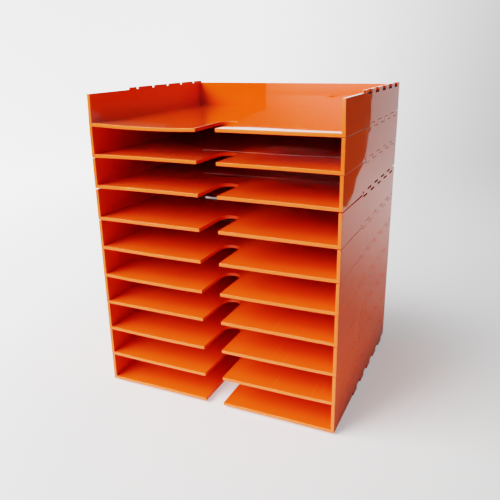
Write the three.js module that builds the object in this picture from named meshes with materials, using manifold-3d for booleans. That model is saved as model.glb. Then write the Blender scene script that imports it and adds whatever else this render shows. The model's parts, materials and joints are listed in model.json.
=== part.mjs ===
// A desktop file sorter: ten identical open-fronted paper trays, stacked.
//
// Each tray is one plastic moulding with a floor, two side walls and a back
// wall, and a rounded finger slot in the front edge of its floor. The rim of
// each side wall is castellated along its rear part: the outer half of the
// wall carries teeth and recesses, and the inner half a raised lip. The
// underside carries the matching feet, notches and a groove for the lip, so
// each tray drops onto the one below and can only be lifted straight up.
//
// Millimetres, +Z up, +Y to the back. The origin is on the table, under the
// middle of the sorter.

import * as THREE from 'three';
import { mergeVertices } from 'three/addons/utils/BufferGeometryUtils.js';
import Module from 'manifold-3d';

const wasm = await Module();
wasm.setup();

// Overall sizes
const TRAY_COUNT = 10;
const WIDTH = 345;
const DEPTH = 300;
const TRAY_PITCH = 41.7; // height that each tray adds to the stack

// Walls
const WALL_THICKNESS = 4.5;
const FLOOR_THICKNESS = 4.5;

// Finger slot in the front edge of the floor
const SLOT_WIDTH = 27;
const SLOT_DEPTH = 73; // front edge to the far end of the round

// Castellations, counted from the back corner forwards
const TOOTH_COUNT = 5;
const TOOTH_WIDTH = 20.5; // also the width of a recess
const BACK_TOOTH_WIDTH = 16.5;
const KEY_TOOTH_WIDTH = 5; // narrow tooth in front of the first recess
const LIP_LEAD = 9.5; // how far the lip starts in front of the first recess
const TOOTH_RISE = 2.8; // above the plain rim
const RECESS_DROP = 2.8; // below the plain rim
const LIP_SLIT_WIDTH = 6.5; // gap in the lip, in the middle of each recess

// Fits
const FIT_GAP = 0.3; // between two trays, wherever they meet
const RAISED_TRAY = 8; // the tray that isn't pressed home
const RAISED_BY = 2.8;

// Construction
const OVERCUT = 1; // how far a cutting block runs past the face it cuts
const ROUND_SEGMENTS = 24; // round end of the finger slot

// Worked out from the sizes above
const RIM_HEIGHT = TRAY_PITCH - FIT_GAP; // plain rim above the underside
const FRONT = -DEPTH / 2;
const BACK = DEPTH / 2;
const SIDE = WIDTH / 2;
const LEAF_THICKNESS = (WALL_THICKNESS - FIT_GAP) / 2; // half a wall, less half the gap
const CASTELLATED_LENGTH = BACK_TOOTH_WIDTH + (2 * TOOTH_COUNT - 1) * TOOTH_WIDTH;
const FIRST_RECESS = BACK - CASTELLATED_LENGTH;
const LIP_FRONT = FIRST_RECESS - LIP_LEAD;

// --- Solids --------------------------------------------------------------

// Turns a closed three.js geometry into a solid that can be joined and cut.
function solidFrom(geometry) {
  geometry.deleteAttribute('normal');
  geometry.deleteAttribute('uv');
  const merged = mergeVertices(geometry);
  const mesh = new wasm.Mesh({
    numProp: 3,
    vertProperties: new Float32Array(merged.attributes.position.array),
    triVerts: new Uint32Array(merged.index.array),
  });
  return new wasm.Manifold(mesh);
}

// Turns a solid back into a flat-shaded three.js geometry.
function geometryFrom(solid) {
  const { vertProperties, triVerts } = solid.getMesh();
  const geometry = new THREE.BufferGeometry();
  geometry.setAttribute('position', new THREE.BufferAttribute(vertProperties, 3));
  geometry.setIndex(new THREE.BufferAttribute(triVerts, 1));
  geometry.computeVertexNormals();
  return geometry;
}

// A block between low and high values on each axis.
function block(x, y, z) {
  const low = new THREE.Vector3(Math.min(...x), y[0], z[0]);
  const high = new THREE.Vector3(Math.max(...x), y[1], z[1]);
  const size = high.clone().sub(low);
  const middle = low.add(high).multiplyScalar(0.5);
  const geometry = new THREE.BoxGeometry(size.x, size.y, size.z);
  geometry.translate(middle.x, middle.y, middle.z);
  return solidFrom(geometry);
}

function joinAll(solid, pieces) {
  return pieces.reduce((sum, piece) => sum.add(piece), solid);
}

function cutAll(solid, cutters) {
  return cutters.reduce((rest, cutter) => rest.subtract(cutter), solid);
}

// --- One tray ------------------------------------------------------------

// Where each recess of a side rim starts and ends along Y.
function recessSpans() {
  const spans = [];
  for (let i = 0; i < TOOTH_COUNT; i += 1) {
    const start = FIRST_RECESS + 2 * i * TOOTH_WIDTH;
    spans.push([start, start + TOOTH_WIDTH]);
  }
  return spans;
}

// Where each tooth starts and ends: the narrow key tooth, then one behind
// each recess. The last one fills the back corner.
function toothSpans() {
  const recesses = recessSpans();
  const teeth = [[FIRST_RECESS - KEY_TOOTH_WIDTH, FIRST_RECESS]];
  recesses.forEach((recess, i) => {
    const next = recesses[i + 1];
    teeth.push([recess[1], next ? next[0] : BACK]);
  });
  return teeth;
}

// Floor, side walls and back wall, open at the front and at the top.
function plainTray() {
  const outside = block([-SIDE, SIDE], [FRONT, BACK], [0, RIM_HEIGHT]);
  const inside = block(
    [-SIDE + WALL_THICKNESS, SIDE - WALL_THICKNESS],
    [FRONT - OVERCUT, BACK - WALL_THICKNESS],
    [FLOOR_THICKNESS, RIM_HEIGHT + OVERCUT],
  );
  return outside.subtract(inside);
}

// The finger slot, as a block with a round far end that runs right through
// the floor.
function fingerSlot() {
  const radius = SLOT_WIDTH / 2;
  const roundCentre = FRONT + SLOT_DEPTH - radius;
  const outline = new THREE.Shape();
  outline.moveTo(-radius, FRONT - OVERCUT);
  outline.lineTo(radius, FRONT - OVERCUT);
  outline.lineTo(radius, roundCentre);
  outline.absarc(0, roundCentre, radius, 0, Math.PI, false);
  outline.closePath();
  const geometry = new THREE.ExtrudeGeometry(outline, {
    depth: FLOOR_THICKNESS + 2 * OVERCUT,
    bevelEnabled: false,
    curveSegments: ROUND_SEGMENTS,
  });
  geometry.translate(0, 0, -OVERCUT);
  return solidFrom(geometry);
}

// What a side wall carries above its plain rim. Side is -1 for left, 1 for right.
function rimPieces(side) {
  const heights = [RIM_HEIGHT - OVERCUT, RIM_HEIGHT + TOOTH_RISE];
  const innerFace = side * (SIDE - WALL_THICKNESS);
  const lipFace = side * (SIDE - WALL_THICKNESS + LEAF_THICKNESS);
  const lip = block([innerFace, lipFace], [LIP_FRONT, BACK], heights);
  const teeth = toothSpans().map((span) => block([innerFace, side * SIDE], span, heights));
  return [lip, ...teeth];
}

// What is cut out of a side wall's rim.
function rimCuts(side) {
  const top = RIM_HEIGHT + TOOTH_RISE + OVERCUT;
  const lipFace = side * (SIDE - WALL_THICKNESS + LEAF_THICKNESS);
  const outside = side * (SIDE + OVERCUT);
  const inside = side * (SIDE - WALL_THICKNESS - OVERCUT);
  const recesses = recessSpans().map((span) => (
    block([lipFace, outside], span, [RIM_HEIGHT - RECESS_DROP, top])
  ));
  const slits = recessSpans().map(([start, end]) => {
    const middle = (start + end) / 2;
    const span = [middle - LIP_SLIT_WIDTH / 2, middle + LIP_SLIT_WIDTH / 2];
    return block([inside, lipFace], span, [RIM_HEIGHT, top]);
  });
  return [...recesses, ...slits];
}

// The feet under a side wall, which fill the recesses of the tray below.
function feet(side) {
  const innerFace = side * (SIDE - LEAF_THICKNESS);
  return recessSpans().map(([start, end]) => (
    block([innerFace, side * SIDE], [start + FIT_GAP, end - FIT_GAP], [-RECESS_DROP, OVERCUT])
  ));
}

// What is cut out of the underside to clear the lip and teeth of the tray below.
function undersideCuts(side) {
  const heights = [-OVERCUT, TOOTH_RISE];
  const footFace = side * (SIDE - LEAF_THICKNESS);
  const grooveFace = side * (SIDE - WALL_THICKNESS - FIT_GAP);
  const outside = side * (SIDE + OVERCUT);
  const groove = block([grooveFace, footFace], [LIP_FRONT - FIT_GAP, BACK + OVERCUT], heights);
  const notches = toothSpans().map(([start, end]) => {
    const rear = end === BACK ? BACK + OVERCUT : end + FIT_GAP;
    return block([grooveFace, outside], [start - FIT_GAP, rear], heights);
  });
  return [groove, ...notches];
}

// One whole tray. Its own origin is under the middle of its plain underside.
function trayGeometry() {
  const sides = [-1, 1];
  let tray = plainTray().subtract(fingerSlot());
  tray = joinAll(tray, sides.flatMap(rimPieces));
  tray = cutAll(tray, sides.flatMap(rimCuts));
  tray = cutAll(tray, sides.flatMap(undersideCuts));
  tray = joinAll(tray, sides.flatMap(feet));
  return geometryFrom(tray);
}

// --- The stack -----------------------------------------------------------

// Height of a tray's plain underside above the table. The lowest tray stands
// on its feet.
function trayHeight(number) {
  const raised = number >= RAISED_TRAY ? RAISED_BY : 0;
  return RECESS_DROP + (number - 1) * TRAY_PITCH + raised;
}

function fileSorter() {
  const plastic = new THREE.MeshStandardMaterial({
    color: 0xe8490f,
    roughness: 0.28,
    metalness: 0,
  });
  const geometry = trayGeometry();
  const sorter = new THREE.Group();
  for (let number = 1; number <= TRAY_COUNT; number += 1) {
    const tray = new THREE.Mesh(geometry, plastic);
    tray.name = `tray_${String(number).padStart(2, '0')}`;
    tray.position.z = trayHeight(number);
    sorter.add(tray);
  }
  return sorter;
}

export default fileSorter();
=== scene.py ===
import json
import math

import bmesh
import bpy
from mathutils import Matrix, Vector

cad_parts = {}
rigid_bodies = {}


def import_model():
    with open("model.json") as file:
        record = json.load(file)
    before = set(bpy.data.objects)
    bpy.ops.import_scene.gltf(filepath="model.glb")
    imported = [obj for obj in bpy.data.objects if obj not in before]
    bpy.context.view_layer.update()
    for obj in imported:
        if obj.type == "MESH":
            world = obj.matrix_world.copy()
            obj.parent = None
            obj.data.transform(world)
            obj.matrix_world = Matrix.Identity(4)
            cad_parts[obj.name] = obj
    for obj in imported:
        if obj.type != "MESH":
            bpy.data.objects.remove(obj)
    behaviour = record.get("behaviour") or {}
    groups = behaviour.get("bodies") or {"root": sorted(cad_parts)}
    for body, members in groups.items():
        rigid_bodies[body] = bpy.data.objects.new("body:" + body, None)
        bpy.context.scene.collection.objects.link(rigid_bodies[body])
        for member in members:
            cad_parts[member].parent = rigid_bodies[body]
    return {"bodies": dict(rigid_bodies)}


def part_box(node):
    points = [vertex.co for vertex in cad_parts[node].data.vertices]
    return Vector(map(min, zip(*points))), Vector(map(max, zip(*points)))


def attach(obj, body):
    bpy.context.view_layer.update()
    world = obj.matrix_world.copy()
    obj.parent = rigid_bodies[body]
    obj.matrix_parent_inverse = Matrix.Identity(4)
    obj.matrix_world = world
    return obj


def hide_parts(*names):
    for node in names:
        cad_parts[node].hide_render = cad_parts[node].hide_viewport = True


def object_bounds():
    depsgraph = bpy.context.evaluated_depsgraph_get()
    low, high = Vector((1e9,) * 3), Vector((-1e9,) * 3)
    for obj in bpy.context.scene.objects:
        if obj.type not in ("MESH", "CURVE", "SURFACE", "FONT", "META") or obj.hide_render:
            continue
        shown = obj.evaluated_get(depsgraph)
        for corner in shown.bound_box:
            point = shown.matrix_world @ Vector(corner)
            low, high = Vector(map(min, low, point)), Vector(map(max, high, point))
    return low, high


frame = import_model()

bl_info = {
    "name": "Stacking File Sorter",
    "version": (1, 0, 0),
    "blender": (4, 5, 0),
    "location": "View3D > Sidebar > File Sorter",
    "description": "Models a desktop file sorter of stacked orange paper trays",
    "category": "Object",
}

CAD_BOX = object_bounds()
TRAY_BODIES = sorted(frame["bodies"])
TRAY_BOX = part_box(TRAY_BODIES[0])


# --- What a user may change ------------------------------------------------


def length(name, description, default):
    """A length in metres, as a property."""
    return bpy.props.FloatProperty(
        name=name,
        description=description,
        default=default,
        min=0.0,
        precision=5,
        subtype="DISTANCE",
        unit="LENGTH",
    )


def colour(name, description, default):
    """A linear colour without alpha, as a property."""
    return bpy.props.FloatVectorProperty(
        name=name,
        description=description,
        default=default,
        size=3,
        min=0.0,
        max=1.0,
        subtype="COLOR",
    )


def share(name, description, default, high=1.0):
    """A plain number from 0 up, as a property."""
    return bpy.props.FloatProperty(
        name=name, description=description, default=default, min=0.0, max=high
    )


class TraySizes(bpy.types.PropertyGroup):
    """Sizes of one tray, which match the CAD part."""

    wall: length("Wall", "Thickness of the side and back walls", 0.0045)
    floor: length("Floor", "Thickness of the floor", 0.0045)
    fit_gap: length("Fit gap", "Gap between two trays wherever they meet", 0.0003)
    slot_width: length("Slot width", "Width of the finger slot", 0.027)
    slot_depth: length("Slot depth", "Front edge to the end of the slot", 0.073)
    tooth_count: bpy.props.IntProperty(
        name="Teeth", description="Recesses along one rim", default=5, min=1
    )
    tooth_width: length("Tooth width", "Width of a tooth and of a recess", 0.0205)
    back_tooth: length("Back tooth", "Width of the tooth in the back corner", 0.0165)
    key_tooth: length("Key tooth", "Width of the narrow front tooth", 0.005)
    lip_lead: length("Lip lead", "Length of lip in front of the first recess", 0.0095)
    tooth_rise: length("Tooth rise", "Height of teeth and lip above the rim", 0.0028)
    recess_drop: length("Recess drop", "Depth of a recess below the rim", 0.0028)
    slit_width: length("Slit width", "Gap in the lip beside each recess", 0.0065)
    seam: length("Seam", "Extra depth of the seams between trays", 0.00025)
    edge_round: length("Edge round", "Radius of the softened edges", 0.0004)


class PlasticLook(bpy.types.PropertyGroup):
    """The glossy orange plastic."""

    orange: colour("Orange", "Colour of the plastic", (0.93, 0.094, 0.003))
    deep: colour("Deep orange", "Colour that the plastic drifts to", (0.88, 0.079, 0.002))
    # The colour of scuffs and blots, and of the lightened rounded front edges, which are partly
    # wear and partly a painted highlight.
    worn_and_lit: colour("Worn", "Colour of rubbed edges and scuffs", (0.93, 0.23, 0.05))
    # The front-edge colour is a painted highlight: front faces and shelf tops near the front are
    # lightened towards it, where the light falls on them.
    edge: colour("Front edge", "Paler orange of the front edges", (0.95, 0.155, 0.035))
    # The colour of painted shade in the seams and recesses between trays.
    seam_shade: colour("Joint", "Colour of the dusty faces between trays", (0.34, 0.012, 0.006))
    roughness: share("Roughness", "Roughness of the clean gloss", 0.035)
    wave: length("Wave", "Height of the slow waves in the moulding", 0.00010)
    grain: length("Grain", "Height of the fine moulding grain", 0.0000006)


class StudioSetup(bpy.types.PropertyGroup):
    """Floor, backdrop, lights and camera."""

    paper: colour("Paper", "Colour of the floor under the sorter", (0.85, 0.85, 0.85))
    bright_side: colour("Bright side", "Backdrop on the window side", (0.94, 0.945, 0.95))
    dim_side: colour("Dim side", "Backdrop on the room side", (0.20, 0.20, 0.198))
    paper_light: share("Paper light", "Strength of the backdrop's even light", 2.6, 10.0)
    floor_glow: share("Floor glow", "Share of even light in the floor's shadow", 0.7)
    key_power: share("Key power", "Power of the key light in watts", 400.0, 5000.0)
    fill_power: share("Fill power", "Power of the low front light in watts", 65.0, 5000.0)
    bounce_power: share("Bounce power", "Power of the light off the floor in watts", 0.7, 100.0)
    world_light: share("World light", "Strength of the room light", 0.10, 10.0)
    exposure: share("Exposure", "Exposure of the view", 0.3, 4.0)
    lens: bpy.props.FloatProperty(
        name="Lens",
        description="Focal length of the camera",
        default=41.18,
        subtype="DISTANCE_CAMERA",
        unit="CAMERA",
    )


# --- Modelling by hand -----------------------------------------------------


def clear_selection():
    """Leaves edit mode and deselects every object."""
    if bpy.context.object and bpy.context.object.mode != "OBJECT":
        bpy.ops.object.mode_set(mode="OBJECT")
    bpy.ops.object.select_all(action="DESELECT")


def pick(piece):
    """Makes a piece the only selected one, and the active one."""
    clear_selection()
    piece.select_set(True)
    bpy.context.view_layer.objects.active = piece


def add_block(name, low, high):
    """A block between two corners, to be shaped further."""
    clear_selection()
    low, high = Vector(low), Vector(high)
    bpy.ops.mesh.primitive_cube_add(size=1, location=(low + high) / 2)
    block = bpy.context.object
    block.name = name
    bpy.ops.transform.resize(value=high - low)
    bpy.ops.object.transform_apply(location=True, rotation=False, scale=True)
    return block


def select_faces(piece, wanted):
    """Selects the faces whose centre and normal pass the test, in edit mode."""
    bpy.ops.object.mode_set(mode="EDIT")
    bpy.ops.mesh.select_mode(type="FACE")
    bpy.ops.mesh.select_all(action="DESELECT")
    bpy.ops.object.mode_set(mode="OBJECT")
    for face in piece.data.polygons:
        face.select = wanted(face.center, face.normal)
    bpy.ops.object.mode_set(mode="EDIT")


def every_face(centre, normal):
    """Passes every face."""
    return True


def faces_up(centre, normal):
    """Passes the faces that look up."""
    return normal.z > 0.9


def faces_down(centre, normal):
    """Passes the faces that look down."""
    return normal.z < -0.9


def select_points(piece, wanted):
    """Selects the vertices whose place passes the test, in edit mode."""
    bpy.ops.object.mode_set(mode="EDIT")
    bpy.ops.mesh.select_mode(type="VERT")
    bpy.ops.mesh.select_all(action="DESELECT")
    bpy.ops.object.mode_set(mode="OBJECT")
    for vertex in piece.data.vertices:
        vertex.select = wanted(vertex.co)
    bpy.ops.object.mode_set(mode="EDIT")


def slice_faces(piece, wanted, cuts):
    """Cuts the chosen faces with planes, each given as a point and a normal."""
    for point, normal in cuts:
        select_faces(piece, wanted)
        bpy.ops.mesh.bisect(plane_co=point, plane_no=normal)
    bpy.ops.object.mode_set(mode="OBJECT")


def pull_faces(piece, wanted, move):
    """Extrudes the chosen faces along a vector."""
    select_faces(piece, wanted)
    bpy.ops.mesh.extrude_region_move(TRANSFORM_OT_translate={"value": move})
    bpy.ops.object.mode_set(mode="OBJECT")


def apply_modifier(piece, kind, **settings):
    """Adds a modifier with these settings and applies it."""
    pick(piece)
    modifier = piece.modifiers.new(kind.title(), kind)
    for name, value in settings.items():
        setattr(modifier, name, value)
    bpy.ops.object.modifier_apply(modifier=modifier.name)


def both_sides(piece):
    """Mirrors a piece on the right side to the left side too."""
    apply_modifier(piece, "MIRROR", use_axis=(True, False, False), use_mirror_merge=False)
    turn_outwards(piece)


def repeat(piece, count, step):
    """Repeats a piece along Y."""
    apply_modifier(
        piece,
        "ARRAY",
        count=count,
        use_relative_offset=False,
        use_constant_offset=True,
        constant_offset_displace=(0, step, 0),
    )


def turn_outwards(piece):
    """Makes every face of a closed piece point outwards."""
    pick(piece)
    bpy.ops.object.mode_set(mode="EDIT")
    bpy.ops.mesh.select_all(action="SELECT")
    bpy.ops.mesh.normals_make_consistent(inside=False)
    bpy.ops.object.mode_set(mode="OBJECT")


def cut_away(piece, cutter):
    """Cuts a cutter out of a piece and removes the cutter."""
    apply_modifier(piece, "BOOLEAN", operation="DIFFERENCE", solver="EXACT", object=cutter)
    bpy.data.objects.remove(cutter)


# --- One tray --------------------------------------------------------------

# Where a tray is sliced so that it can bend, in metres.
CUT_SPACING = 0.0172
CUTS_ACROSS = range(-9, 10)
CUTS_BESIDE_SLOT = (0.015, 0.030, 0.045)
CUT_BEHIND_SLOT = 0.0195
CUTS_UPWARD = (0.0125, 0.0205, 0.0285)

EDGE_SLOT = 1  # material slot of the rounded edges
SHARP_EDGE = math.radians(40)
ROUNDED_EDGE = math.radians(50)

class TrayPlan:
    """The lines that a tray is laid out on, in metres. Its own underside is z 0."""

    def __init__(self, sizes):
        low, high = TRAY_BOX
        self.side = high.x
        self.front = low.y
        self.back = high.y
        self.top = high.z - low.z - sizes.recess_drop
        self.rim = self.top - sizes.tooth_rise - sizes.seam
        self.recess = self.rim - sizes.recess_drop
        self.notch = sizes.tooth_rise + sizes.seam
        self.inner = self.side - sizes.wall
        self.leaf = (sizes.wall - sizes.fit_gap) / 2
        self.lip = self.inner + self.leaf
        self.foot = self.side - self.leaf
        run = sizes.back_tooth + (2 * sizes.tooth_count - 1) * sizes.tooth_width
        self.first_recess = self.back - run
        self.lip_front = self.first_recess - sizes.lip_lead
        self.step = 2 * sizes.tooth_width
        self.over = 0.001


def tray_shell(sizes, plan):
    """Floor, side walls and back wall, raised from one plate."""
    tray = add_block(
        "tray_shell",
        (-plan.side, plan.front, 0),
        (plan.side, plan.back, sizes.floor),
    )
    slice_faces(
        tray,
        faces_up,
        [
            ((plan.inner, 0, 0), (1, 0, 0)),
            ((-plan.inner, 0, 0), (1, 0, 0)),
            ((0, plan.back - sizes.wall, 0), (0, 1, 0)),
        ],
    )

    def under_side_wall(centre, normal):
        return faces_up(centre, normal) and abs(centre.x) > plan.inner

    def under_back_wall(centre, normal):
        return (
            faces_up(centre, normal)
            and centre.y > plan.back - sizes.wall
            and abs(centre.x) < plan.inner
        )

    def under_any_wall(centre, normal):
        return under_side_wall(centre, normal) or under_back_wall(centre, normal)

    pull_faces(tray, under_any_wall, (0, 0, plan.rim - sizes.floor))
    pull_faces(tray, under_back_wall, (0, 0, sizes.seam))
    return tray


def rim_castellations(tray, sizes, plan):
    """Raised lip and teeth along the rear of each side rim, and the recesses between."""

    def side_rim(centre, normal):
        return faces_up(centre, normal) and centre.z > plan.recess and abs(centre.x) > plan.inner

    def castellated(centre, normal):
        return side_rim(centre, normal) and centre.y > plan.lip_front

    slice_faces(tray, side_rim, [((0, plan.lip_front, 0), (0, 1, 0))])
    pull_faces(tray, castellated, (0, 0, plan.top - plan.rim))

    high = plan.top + plan.over
    key_front = plan.first_recess - sizes.key_tooth
    lead = add_block(
        "lead_cutter",
        (plan.lip, plan.lip_front - plan.over, plan.rim),
        (plan.side + plan.over, key_front, high),
    )
    both_sides(lead)
    cut_away(tray, lead)

    recess = add_block(
        "recess_cutter",
        (plan.lip, plan.first_recess, plan.recess),
        (plan.side + plan.over, plan.first_recess + sizes.tooth_width, high),
    )
    repeat(recess, sizes.tooth_count, plan.step)
    both_sides(recess)
    cut_away(tray, recess)

    slit_front = plan.first_recess + (sizes.tooth_width - sizes.slit_width) / 2
    slit = add_block(
        "slit_cutter",
        (plan.inner - plan.over, slit_front, plan.rim),
        (plan.lip + plan.over, slit_front + sizes.slit_width, high),
    )
    repeat(slit, sizes.tooth_count, plan.step)
    both_sides(slit)
    cut_away(tray, slit)


def underside_fit(tray, sizes, plan):
    """Feet under the side walls, and the groove and notches that clear the tray below."""
    gap = sizes.fit_gap
    last = plan.first_recess + (sizes.tooth_count - 1) * plan.step + sizes.tooth_width
    slice_faces(
        tray,
        faces_down,
        [
            ((plan.foot, 0, 0), (1, 0, 0)),
            ((-plan.foot, 0, 0), (1, 0, 0)),
            ((0, plan.first_recess + gap, 0), (0, 1, 0)),
            ((0, last - gap, 0), (0, 1, 0)),
        ],
    )

    def foot_strip(centre, normal):
        in_strip = abs(centre.x) > plan.foot and plan.first_recess < centre.y < last
        return faces_down(centre, normal) and in_strip

    pull_faces(tray, foot_strip, (0, 0, -sizes.recess_drop))

    low = -sizes.recess_drop - plan.over
    groove_side = plan.inner - gap
    outside = plan.side + plan.over
    notch_spans = {
        "key_notch": (plan.first_recess - sizes.key_tooth - gap, plan.first_recess + gap),
        "back_notch": (last - gap, plan.back + plan.over),
    }
    for name, (start, end) in notch_spans.items():
        notch = add_block(name, (groove_side, start, low), (outside, end, plan.notch))
        both_sides(notch)
        cut_away(tray, notch)
    start = plan.first_recess + sizes.tooth_width - gap
    end = plan.first_recess + plan.step + gap
    notch = add_block("tooth_notch", (groove_side, start, low), (outside, end, plan.notch))
    repeat(notch, sizes.tooth_count - 1, plan.step)
    both_sides(notch)
    cut_away(tray, notch)

    groove = add_block(
        "groove_cutter",
        (groove_side, plan.lip_front - gap, low),
        (plan.foot, plan.back + plan.over, plan.notch),
    )
    both_sides(groove)
    cut_away(tray, groove)


def finger_slot(tray, sizes, plan):
    """The slot with a round end in the front of the floor."""
    clear_selection()
    radius = sizes.slot_width / 2
    middle = plan.front + sizes.slot_depth - radius
    bpy.ops.mesh.primitive_cylinder_add(
        vertices=64, radius=radius, depth=sizes.floor * 3, location=(0, middle, sizes.floor / 2)
    )
    cutter = bpy.context.object
    bpy.ops.object.transform_apply(location=True, rotation=False, scale=False)
    select_points(cutter, lambda place: place.y < middle - radius / 100)
    bpy.ops.transform.translate(value=(0, -sizes.slot_depth, 0))
    bpy.ops.object.mode_set(mode="OBJECT")
    cut_away(tray, cutter)


def ease_for_bending(tray, sizes, plan):
    """Tidies the cut faces, then slices them so that the tray can bend smoothly."""
    pick(tray)
    bpy.ops.object.mode_set(mode="EDIT")
    bpy.ops.mesh.select_all(action="SELECT")
    bpy.ops.mesh.remove_doubles(threshold=0.00002)
    bpy.ops.mesh.dissolve_limited(angle_limit=math.radians(1))
    bpy.ops.object.mode_set(mode="OBJECT")

    cuts = [((step * CUT_SPACING, 0, 0), (1, 0, 0)) for step in CUTS_ACROSS]
    # Off the edges of the teeth, so that no cut leaves a sliver beside one.
    first_cut = plan.first_recess + sizes.tooth_width / 6
    along = [first_cut + i * sizes.tooth_width for i in range(2 * sizes.tooth_count - 1)]
    along += [plan.front + distance for distance in CUTS_BESIDE_SLOT]
    round_start = plan.front + sizes.slot_depth - sizes.slot_width / 2
    along += [round_start, round_start + CUT_BEHIND_SLOT]
    cuts += [((0, y, 0), (0, 1, 0)) for y in along]
    cuts += [((0, 0, z), (0, 0, 1)) for z in CUTS_UPWARD]
    slice_faces(tray, every_face, cuts)


def soften_edges(tray, sizes):
    """Rounds the outward edges, and gives the narrow new faces the second material, whose front is
    lightened partly as wear and partly as a painted highlight.
    """
    mesh = bmesh.new()
    mesh.from_mesh(tray.data)
    weights = [
        float(edge.is_convex and edge.calc_face_angle() > SHARP_EDGE) for edge in mesh.edges
    ]
    mesh.free()
    marks = tray.data.attributes.new("bevel_weight_edge", "FLOAT", "EDGE")
    marks.data.foreach_set("value", weights)
    apply_modifier(
        tray,
        "BEVEL",
        width=sizes.edge_round,
        segments=2,
        limit_method="WEIGHT",
        use_clamp_overlap=False,
        material=EDGE_SLOT,
    )


def mark_joints(tray, sizes, plan):
    """Marks how much painted shade each face gets: the ones between two trays, and the edges at a
    seam.
    """
    hair = sizes.fit_gap
    plain_front, plain_corner, seam_reach = 0.01, 0.002, 0.001

    def seam_shading(face):
        across, along, height = abs(face.center.x), face.center.y, face.center.z
        if along < plan.front + plain_front:
            return 0.0
        behind = plan.back - sizes.wall
        in_side = plan.inner + hair < across < plan.side - hair
        in_back = behind + hair < along < plan.back - hair and across < plan.inner
        if in_side or in_back:
            return 1.0
        on_side = across > plan.inner - hair and along < plan.back - plain_corner
        on_back = along > behind - hair and across < plan.inner
        at_seam = height < plan.notch + seam_reach or height > plan.recess - seam_reach
        on_edge = face.material_index == EDGE_SLOT
        return 0.7 if on_edge and at_seam and (on_side or on_back) else 0.0

    marks = tray.data.attributes.new("seam_shade", "FLOAT", "FACE")
    marks.data.foreach_set("value", [seam_shading(face) for face in tray.data.polygons])


def model_tray(sizes):
    """One whole tray, still square and unbent, standing on z 0."""
    plan = TrayPlan(sizes)
    tray = tray_shell(sizes, plan)
    rim_castellations(tray, sizes, plan)
    underside_fit(tray, sizes, plan)
    finger_slot(tray, sizes, plan)
    ease_for_bending(tray, sizes, plan)
    soften_edges(tray, sizes)
    mark_joints(tray, sizes, plan)
    return tray


# How each tray is bent, from the bottom up, in millimetres: how far the left
# and right walls lean in at the rim, how far they bow in at half height, how
# far the floor sags beside the left and right of the finger slot, and how far
# the rim rises.
TRAY_BENDS = (
    (0.3, 0.4, 0.1, 0.1, -0.5, -0.4, 0.0),
    (0.2, 0.5, 0.1, 0.0, 0.9, 0.7, 0.0),
    (0.4, 0.3, 0.1, 0.2, 1.0, 0.5, 0.0),
    (0.2, 0.5, 0.1, 0.0, 0.2, 0.1, 0.0),
    (0.3, 0.3, 0.0, 0.3, 1.3, 0.8, 0.0),
    (0.4, 0.5, 0.2, 0.1, 0.9, 0.6, 0.0),
    (0.2, 0.6, 0.0, 0.2, 0.1, -0.1, 2.6),
    (0.3, 0.4, 0.1, 0.3, -0.9, -0.7, 0.0),
    (0.3, 0.3, 0.0, 0.1, -0.9, -0.6, 0.0),
    (2.2, 1.9, 0.2, 0.3, 2.1, 0.4, 0.0),
)


def bend_tray(tray, bends):
    """Bends a tray a little with a lattice, as mouldings of this size always are."""
    left_lean, right_lean, left_bow, right_bow, left_sag, right_sag, rise = (
        value / 1000 for value in bends
    )
    corners = [Vector(corner) for corner in tray.bound_box]
    low, high = corners[0], corners[6]
    clear_selection()
    bpy.ops.object.add(type="LATTICE", location=(low + high) / 2)
    lattice = bpy.context.object
    lattice.scale = high - low
    cage = lattice.data
    cage.points_u, cage.points_v, cage.points_w = 9, 5, 3
    for point in cage.points:
        across, along, up = (value + 0.5 for value in point.co)
        from_middle = 2 * across - 1
        front = 1 - along
        lean, bow, sag = (
            (left_lean, left_bow, left_sag)
            if from_middle < 0
            else (right_lean, right_bow, right_sag)
        )
        # The walls lean most at the front, where no back wall holds them.
        inward = lean * up * (0.35 + 0.65 * front) + bow * math.sin(math.pi * up)
        # The floor sags towards its front edge, between the walls.
        sink = sag * 1.5 * (1 - from_middle**8) ** 2 * front**2
        # The rim rises most at the front and in the middle of the back wall.
        lift = rise * up * (0.3 + 0.7 * front**3 + 0.79 * along**3 * (1 - from_middle**8))
        shift = Vector((-inward * from_middle**3, 0, lift - sink))
        point.co_deform = Vector(point.co) + Vector(
            shift[axis] / lattice.scale[axis] for axis in range(3)
        )
    apply_modifier(tray, "LATTICE", object=lattice)
    bpy.data.objects.remove(lattice)


def smooth_faces(tray):
    """Shades the rounded edges smoothly and keeps the wide faces flat."""
    pick(tray)
    bpy.ops.object.shade_smooth_by_angle(angle=ROUNDED_EDGE)
    apply_modifier(tray, "WEIGHTED_NORMAL", keep_sharp=True)


# --- Materials -------------------------------------------------------------


class Shade:
    """A shader socket that takes part in Python arithmetic."""

    def __init__(self, sheet, socket):
        self.sheet = sheet
        self.socket = socket

    def math(self, operation, first, second=0.0):
        """Adds a Math node."""
        settings = {"operation": operation}
        return self.sheet.add("ShaderNodeMath", settings, {0: first, 1: second})

    def whole(self):
        """The whole number below."""
        return self.math("FLOOR", self)

    def at_most(self, limit):
        """The value, or the limit if that is less."""
        return self.math("MINIMUM", self, limit)

    def __add__(self, other):
        return self.math("ADD", self, other)

    def __sub__(self, other):
        return self.math("SUBTRACT", self, other)

    def __rsub__(self, other):
        return self.math("SUBTRACT", other, self)

    def __mul__(self, other):
        return self.math("MULTIPLY", self, other)

    def __truediv__(self, other):
        return self.math("DIVIDE", self, other)

    __radd__ = __add__
    __rmul__ = __mul__


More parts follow.
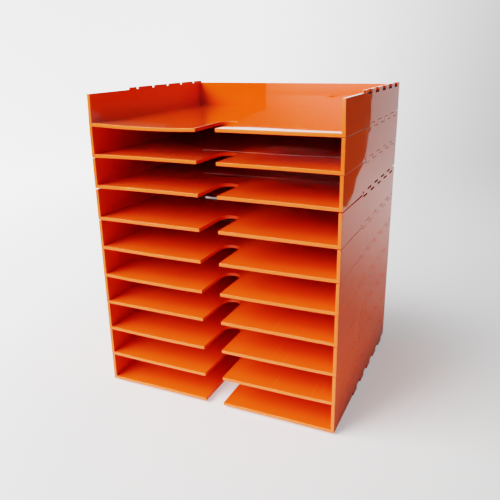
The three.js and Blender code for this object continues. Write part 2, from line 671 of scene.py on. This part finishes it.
class NodeSheet:
    """The nodes of one material, added one at a time."""

    def __init__(self, name):
        self.material = bpy.data.materials.new(name)
        self.material.use_nodes = True
        self.tree = self.material.node_tree
        self.tree.nodes.clear()

    def add(self, kind, settings=None, inputs=None, output=0):
        """Adds a node with its settings first, then its values and links."""
        node = self.tree.nodes.new(kind)
        for name, value in (settings or {}).items():
            setattr(node, name, value)
        for name, value in (inputs or {}).items():
            if isinstance(value, Shade):
                self.tree.links.new(value.socket, node.inputs[name])
            else:
                node.inputs[name].default_value = value
        return Shade(self, node.outputs[output]) if node.outputs else None

    def part(self, vector, axis):
        """One axis of a vector."""
        return self.add("ShaderNodeSeparateXYZ", inputs={0: vector}, output=axis)

    def length(self, vector):
        """The length of a vector."""
        return self.add(
            "ShaderNodeVectorMath", {"operation": "LENGTH"}, {0: vector}, output="Value"
        )

    def mix(self, factor, first, second):
        """Mixes two colours."""
        factor_socket, first_socket, second_socket, result = 0, 6, 7, 2
        return self.add(
            "ShaderNodeMix",
            {"data_type": "RGBA"},
            {factor_socket: factor, first_socket: first, second_socket: second},
            result,
        )

    def noise(self, place, scale, detail=2.0, stretch=(1, 1, 1), shift=(0, 0, 0)):
        """Cloudy noise from 0 to 1, with so many features to a metre."""
        spot = self.add(
            "ShaderNodeMapping", inputs={"Vector": place, "Scale": stretch, "Location": shift}
        )
        return self.add(
            "ShaderNodeTexNoise", inputs={"Vector": spot, "Scale": scale, "Detail": detail}
        )

    def ease(self, value, low, high):
        """0 below low and 1 above high, with a smooth rise between."""
        return self.add(
            "ShaderNodeMapRange",
            {"interpolation_type": "SMOOTHSTEP"},
            {"Value": value, "From Min": low, "From Max": high},
        )

    def blot(self, place, middle, size):
        """1 in the middle of a soft-edged blot, and 0 outside it."""
        offset = self.add(
            "ShaderNodeVectorMath", {"operation": "SUBTRACT"}, {0: place, 1: middle}
        )
        scaled = self.add("ShaderNodeVectorMath", {"operation": "DIVIDE"}, {0: offset, 1: size})
        return 1 - self.ease(self.length(scaled), 0.4, 1.0)


def rgba(values):
    """A colour with full alpha."""
    return (*values, 1.0)


def scuff_places(sizes):
    """Where the plastic is visibly scuffed: middle and half size of each blot."""
    seventh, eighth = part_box(TRAY_BODIES[6])[0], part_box(TRAY_BODIES[7])[0]
    front = eighth.y
    top = eighth.z + sizes.recess_drop + sizes.floor
    under = eighth.z + sizes.recess_drop
    return (
        ((-0.112, front, top), (0.030, 0.010, 0.002)),
        ((0.137, front, under), (0.012, 0.004, 0.002)),
    )


def front_strip(sheet, place):
    """1 on the front edges of floors and walls, and 0 further back."""
    front = TRAY_BOX[0].y
    return 1 - sheet.ease(sheet.part(place, "Y"), front + 0.0005, front + 0.004)


def plastic(name, look, sizes, rubbed_and_lit):
    """Glossy orange plastic. The last argument says, from 0 to 1, how much its front edges are
    lightened, partly as wear and partly as a painted highlight.
    """
    sheet = NodeSheet(name)
    place = sheet.add("ShaderNodeTexCoord", output="Object")
    facing = sheet.add("ShaderNodeTexCoord", output="Normal")
    height = sheet.part(place, "Z")
    shelf = sheet.ease(sheet.part(facing, "Z"), 0.6, 0.9)
    strip = front_strip(sheet, place)

    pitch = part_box(TRAY_BODIES[1])[0].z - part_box(TRAY_BODIES[0])[0].z
    number = (height / pitch).whole()
    batch = sheet.add("ShaderNodeTexWhiteNoise", {"noise_dimensions": "1D"}, {"W": number})
    drift = sheet.ease(sheet.noise(place, 9.0), 0.3, 0.7)
    tone = sheet.mix(drift * 0.6 + batch * 0.4, rgba(look.orange), rgba(look.deep))
    # Painted highlight: the front faces, and the shelf tops near the front, are lightened towards
    # the front-edge colour.
    front_face_highlight = sheet.ease(sheet.part(facing, "Y") * -1.0, 0.5, 0.95) * strip
    front = TRAY_BOX[0].y
    near_front_light = 1 - sheet.ease(sheet.part(place, "Y"), front, front + 0.12)
    body = sheet.mix(front_face_highlight * 0.85 + near_front_light * shelf * 0.3, tone, rgba(look.edge))

    # Painted shade in the seams and recesses between trays. The rim of the top tray has no tray on
    # it, so no painted shade there.
    seam_shade = sheet.add("ShaderNodeAttribute", {"attribute_name": "seam_shade"}, output="Fac")
    top_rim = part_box(TRAY_BODIES[-1])[1].z - sizes.tooth_rise
    covered = 1 - sheet.ease(height, top_rim - 0.0015, top_rim - 0.0005)
    body = sheet.mix(seam_shade * covered * 0.9, body, rgba(look.seam_shade))

    streaks = sheet.ease(sheet.noise(place, 1.0, 4.0, stretch=(260, 9, 260)), 0.60, 0.72)
    patches = sheet.ease(sheet.noise(place, 14.0, 3.0, shift=(3, 1, 2)), 0.48, 0.66)
    scuffs = streaks * patches * shelf
    blots = sum(sheet.blot(place, middle, size) for middle, size in scuff_places(sizes))
    broken = sheet.ease(sheet.noise(place, 420.0, 3.0), 0.38, 0.6)
    # The rounded front edges are lightened partly as wear and partly as a painted highlight; the
    # scuffs and blots are real wear.
    handled_and_lit = strip * 0.85 + 0.15
    wear_and_highlight = scuffs * 0.25 + blots * broken * 0.8 + handled_and_lit * (rubbed_and_lit * 0.55)
    painted = sheet.mix(wear_and_highlight.at_most(1.0), body, rgba(look.worn_and_lit))

    smudge = sheet.ease(sheet.noise(place, 22.0, 3.0, shift=(1, 5, 2)), 0.45, 0.7)
    roughness = smudge * 0.035 + wear_and_highlight * 0.22 + look.roughness

    waves = sheet.noise(place, 8.0, 0.5, stretch=(1, 1, 2.5)) * look.wave
    grain = sheet.noise(place, 1400.0, 1.0) * look.grain
    bump = sheet.add(
        "ShaderNodeBump", inputs={"Strength": 1.0, "Distance": 1.0, "Height": waves + grain}
    )
    surface = sheet.add(
        "ShaderNodeBsdfPrincipled",
        inputs={
            "Base Color": painted,
            "Roughness": roughness,
            "Normal": bump,
            "IOR": 1.5,
            "Coat Weight": 0.7 - 0.5 * rubbed_and_lit,
            "Coat Roughness": 0.01,
            "Coat IOR": 1.5,
        },
    )
    sheet.add("ShaderNodeOutputMaterial", inputs={"Surface": surface})
    return sheet.material


class SORTER_OT_trays(bpy.types.Operator):
    """Model one tray, then stack a bent copy of it for each tray of the sorter"""

    bl_idname = "sorter.trays"
    bl_label = "Stacked Trays"
    bl_options = {"REGISTER", "UNDO"}

    def execute(self, context):
        sizes = context.scene.sorter_sizes
        look = context.scene.sorter_look
        tray = model_tray(sizes)
        tray.data.materials.append(plastic("orange_plastic", look, sizes, 0.0))
        tray.data.materials.append(plastic("orange_plastic_edges", look, sizes, 1.0))
        for body, bends in zip(TRAY_BODIES, TRAY_BENDS):
            pick(tray)
            bpy.ops.object.duplicate(linked=False)
            copy = context.object
            copy.name = f"sorter_{body}"
            bend_tray(copy, bends)
            smooth_faces(copy)
            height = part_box(body)[0].z + sizes.recess_drop
            bpy.ops.transform.translate(value=(0, 0, height))
            bpy.ops.object.transform_apply(location=True, rotation=False, scale=False)
            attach(copy, body)
            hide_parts(body)
        bpy.data.objects.remove(tray)
        clear_selection()
        return {"FINISHED"}


# --- Studio ----------------------------------------------------------------

FLOOR_RADIUS = 1.9

# Left edge of the dark card, as distances to the right and heights, in metres.
CARD_LEFT_EDGE = (
    (0.470, 0.0), (0.437, 0.10), (0.417, 0.16), (0.408, 0.24), (0.4115, 0.33), (0.4115, 0.42)
)

WHITE = (1.0, 1.0, 1.0)
CAMERA_PLACE = (0.3338, -0.7582, 0.4671)
CAMERA_TURN = math.radians(24.448)
CAMERA_TILT = math.radians(18.895)
CAMERA_ROLL = math.radians(-0.792)

def paper_material(name, studio):
    """Matt pale paper that is evenly lit far from the sorter, whatever the lights do."""
    sheet = NodeSheet(name)
    place = sheet.add("ShaderNodeTexCoord", output="Object")
    mottle = sheet.noise(place, 3.0, 2.0)
    shaded = tuple(value * 0.985 for value in studio.paper)
    paper = sheet.mix(mottle, rgba(studio.paper), rgba(shaded))
    matt = sheet.add(
        "ShaderNodeBsdfPrincipled",
        inputs={"Base Color": paper, "Roughness": 0.75, "Specular IOR Level": 0.25},
    )

    across, behind, height = (sheet.part(place, axis) for axis in "XYZ")
    to_right = sheet.ease(across, -1.6, 0.9)
    to_middle = sheet.ease(height, 0.2, 1.8) * 0.3
    side = to_right * (1 - to_middle) + to_middle * 0.5
    glow = sheet.mix(side, rgba(studio.bright_side), rgba(studio.dim_side))

    # How much of that glow is seen directly, in a reflection and as light on
    # the sorter. In reflections there is a bright window low in front, and the
    # paper behind is dimmer close by. As a light, the front is dim.
    back = sheet.ease(behind, -1.0, 0.2)
    spread = back * 0.9 + 0.1
    window = sheet.ease(height, 0.05, 0.4) * (1 - sheet.ease(height, 0.6, 1.2))
    window = window * (sheet.ease(across, -1.5, -0.6) * 0.92 + 0.08)
    shine = (1 - back) * window + back * (sheet.ease(behind, 0.3, 1.6) * 0.80 + 0.10)
    seen = sheet.add("ShaderNodeLightPath", output="Is Camera Ray")
    mirrored = sheet.add("ShaderNodeLightPath", output="Is Glossy Ray")
    lit = seen + (1 - seen) * (mirrored * shine + (1 - mirrored) * spread)
    nearness = 1 - sheet.ease(behind, -0.6, 2.2) * 0.35
    even = sheet.add(
        "ShaderNodeEmission",
        inputs={
            "Color": sheet.mix(lit * nearness, (0, 0, 0, 1), glow),
            "Strength": studio.paper_light,
        },
    )

    # Close to the sorter the paper is lit by the lights too, so it holds a shadow.
    distance = sheet.length(place)
    near = (sheet.ease(distance, 0.2, 0.5) * 0.6 + 0.4) * studio.floor_glow
    share_even = sheet.ease(distance, 0.8, 1.85) * (1 - studio.floor_glow) + near
    surface = sheet.add("ShaderNodeMixShader", inputs={0: share_even, 1: matt, 2: even})
    sheet.add("ShaderNodeOutputMaterial", inputs={"Surface": surface})
    return sheet.material


def add_floor(paper):
    """A round pale floor."""
    clear_selection()
    bpy.ops.mesh.primitive_circle_add(vertices=128, radius=FLOOR_RADIUS, fill_type="NGON")
    floor = bpy.context.object
    floor.name = "paper_floor"
    floor.data.materials.append(paper)


def add_backdrop(paper):
    """The same paper curving up on every side. It lights nothing, so the room stays dark."""
    clear_selection()
    curve, steps, straight = 1.1, 14, 1.6
    bpy.ops.mesh.primitive_circle_add(vertices=128, radius=FLOOR_RADIUS, fill_type="NOTHING")
    backdrop = bpy.context.object
    backdrop.name = "paper_backdrop"
    bpy.ops.object.mode_set(mode="EDIT")
    bpy.ops.mesh.select_mode(type="EDGE")
    bpy.ops.mesh.select_all(action="SELECT")
    radius, height = FLOOR_RADIUS, 0.0
    for step in range(1, steps + 1):
        turn = math.pi / 2 * step / steps
        wider = FLOOR_RADIUS + curve * math.sin(turn)
        higher = curve * (1 - math.cos(turn))
        bpy.ops.mesh.extrude_edges_move()
        bpy.ops.transform.resize(value=(wider / radius, wider / radius, 1))
        bpy.ops.transform.translate(value=(0, 0, higher - height))
        radius, height = wider, higher
    bpy.ops.mesh.extrude_edges_move()
    bpy.ops.transform.translate(value=(0, 0, straight))
    bpy.ops.mesh.select_all(action="SELECT")
    bpy.ops.mesh.normals_make_consistent(inside=True)
    bpy.ops.object.mode_set(mode="OBJECT")
    bpy.ops.object.shade_smooth()
    backdrop.visible_diffuse = False
    backdrop.visible_shadow = False
    backdrop.data.materials.append(paper)


def add_dark_card():
    """A dark card behind and to the right, seen only as a reflection in the side walls."""
    clear_selection()
    width, behind = 0.7, 1.0
    height = CARD_LEFT_EDGE[-1][1]
    bpy.ops.mesh.primitive_plane_add(
        size=1, location=(width / 2, behind, height / 2), rotation=(math.pi / 2, 0, 0)
    )
    card = bpy.context.object
    card.name = "dark_card"
    bpy.ops.transform.resize(value=(width, 1, height))
    bpy.ops.object.transform_apply(location=True, rotation=True, scale=True)
    levels = [level for left, level in CARD_LEFT_EDGE]
    slice_faces(card, every_face, [((0, 0, level), (0, 0, 1)) for level in levels[1:-1]])
    for left, level in CARD_LEFT_EDGE:
        select_points(card, lambda place: abs(place.z - level) < 0.001)
        bpy.ops.transform.translate(value=(left, 0, 0))
    bpy.ops.object.mode_set(mode="OBJECT")
    sheet = NodeSheet("dark_card")
    place = sheet.add("ShaderNodeTexCoord", output="Object")
    tone = sheet.mix(sheet.noise(place, 4.0), (0.15, 0.045, 0.025, 1), (0.11, 0.03, 0.015, 1))
    surface = sheet.add("ShaderNodeBsdfDiffuse", inputs={"Color": tone})
    sheet.add("ShaderNodeOutputMaterial", inputs={"Surface": surface})
    card.data.materials.append(sheet.material)
    card.visible_camera = False
    card.visible_diffuse = False
    card.visible_shadow = False


def aim(thing, target):
    """Turns a light or camera to look at a point."""
    direction = Vector(target) - thing.location
    thing.rotation_euler = direction.to_track_quat("-Z", "Y").to_euler()


def add_softbox(name, place, target, width, height, power, tint):
    """A rectangular soft light that the camera doesn't see."""
    clear_selection()
    bpy.ops.object.light_add(type="AREA", location=place)
    light = bpy.context.object
    light.name = name
    light.data.shape = "RECTANGLE"
    light.data.size = width
    light.data.size_y = height
    light.data.energy = power
    light.data.color = tint
    light.visible_camera = False
    aim(light, target)
    return light


def add_camera(studio):
    """The camera, a little to the right of the sorter and above it."""
    turn, tilt, roll = CAMERA_TURN, CAMERA_TILT, CAMERA_ROLL
    right = Vector((math.cos(turn), math.sin(turn), 0))
    back = Vector(
        (math.sin(turn) * math.cos(tilt), -math.cos(turn) * math.cos(tilt), math.sin(tilt))
    )
    up = back.cross(right)
    across = math.cos(roll) * right + math.sin(roll) * up
    upright = -math.sin(roll) * right + math.cos(roll) * up
    bpy.ops.object.camera_add(location=CAMERA_PLACE)
    camera = bpy.context.object
    camera.name = "studio_camera"
    camera.data.lens = studio.lens
    camera.data.sensor_width = 36.0
    camera.rotation_euler = Matrix((across, upright, back)).transposed().to_euler()
    bpy.context.scene.camera = camera


def add_room_light(strength):
    """An even, slightly cool light from the room."""
    world = bpy.data.worlds.new("room")
    world.use_nodes = True
    background = world.node_tree.nodes["Background"]
    background.inputs["Color"].default_value = (0.97, 0.98, 1.0, 1.0)
    background.inputs["Strength"].default_value = strength
    bpy.context.scene.world = world


class SORTER_OT_studio(bpy.types.Operator):
    """Set up the pale floor, the soft lights and the camera"""

    bl_idname = "sorter.studio"
    bl_label = "Studio"
    bl_options = {"REGISTER", "UNDO"}

    def execute(self, context):
        studio = context.scene.sorter_studio
        paper = paper_material("pale_paper", studio)
        add_floor(paper)
        add_backdrop(paper)
        add_dark_card()
        middle = (CAD_BOX[0] + CAD_BOX[1]) / 2
        add_softbox(
            "key_softbox", (-2.8, -2.4, 3.2), middle, 4.2, 3.0, studio.key_power, (1, 0.99, 0.97)
        )
        add_softbox(
            "front_softbox", (-1.5, -3.9, 2.3), middle, 2.4, 1.4, studio.fill_power, (0.98, 0.99, 1)
        )
        bounce = add_softbox(
            "floor_bounce", (0.38, 0, 0.004), (0.38, 0.001, 1), 0.3, 0.6, studio.bounce_power, WHITE
        )
        bounce.visible_glossy = False
        add_room_light(studio.world_light)
        add_camera(studio)
        view = context.scene.view_settings
        view.view_transform = "Filmic"
        view.look = "High Contrast"
        view.exposure = studio.exposure
        clear_selection()
        return {"FINISHED"}


class SORTER_PT_panel(bpy.types.Panel):
    """Sizes, looks and studio of the file sorter"""

    bl_idname = "SORTER_PT_panel"
    bl_label = "File Sorter"
    bl_space_type = "VIEW_3D"
    bl_region_type = "UI"
    bl_category = "File Sorter"

    def draw(self, context):
        layout = self.layout
        scene = context.scene
        groups = (
            ("Tray", scene.sorter_sizes, "sorter.trays"),
            ("Plastic", scene.sorter_look, None),
            ("Studio", scene.sorter_studio, "sorter.studio"),
        )
        for title, group, operator in groups:
            box = layout.box()
            box.label(text=title)
            for name in group.__annotations__:
                box.prop(group, name)
            if operator:
                box.operator(operator)


CLASSES = (
    TraySizes,
    PlasticLook,
    StudioSetup,
    SORTER_OT_trays,
    SORTER_OT_studio,
    SORTER_PT_panel,
)
SCENE_GROUPS = {
    "sorter_sizes": TraySizes,
    "sorter_look": PlasticLook,
    "sorter_studio": StudioSetup,
}


def register():
    for cls in CLASSES:
        bpy.utils.register_class(cls)
    for name, group in SCENE_GROUPS.items():
        setattr(bpy.types.Scene, name, bpy.props.PointerProperty(type=group))


def unregister():
    for name in SCENE_GROUPS:
        delattr(bpy.types.Scene, name)
    for cls in reversed(CLASSES):
        bpy.utils.unregister_class(cls)


def main():
    register()
    bpy.ops.sorter.trays()
    bpy.ops.sorter.studio()


if __name__ == "__main__":
    main()
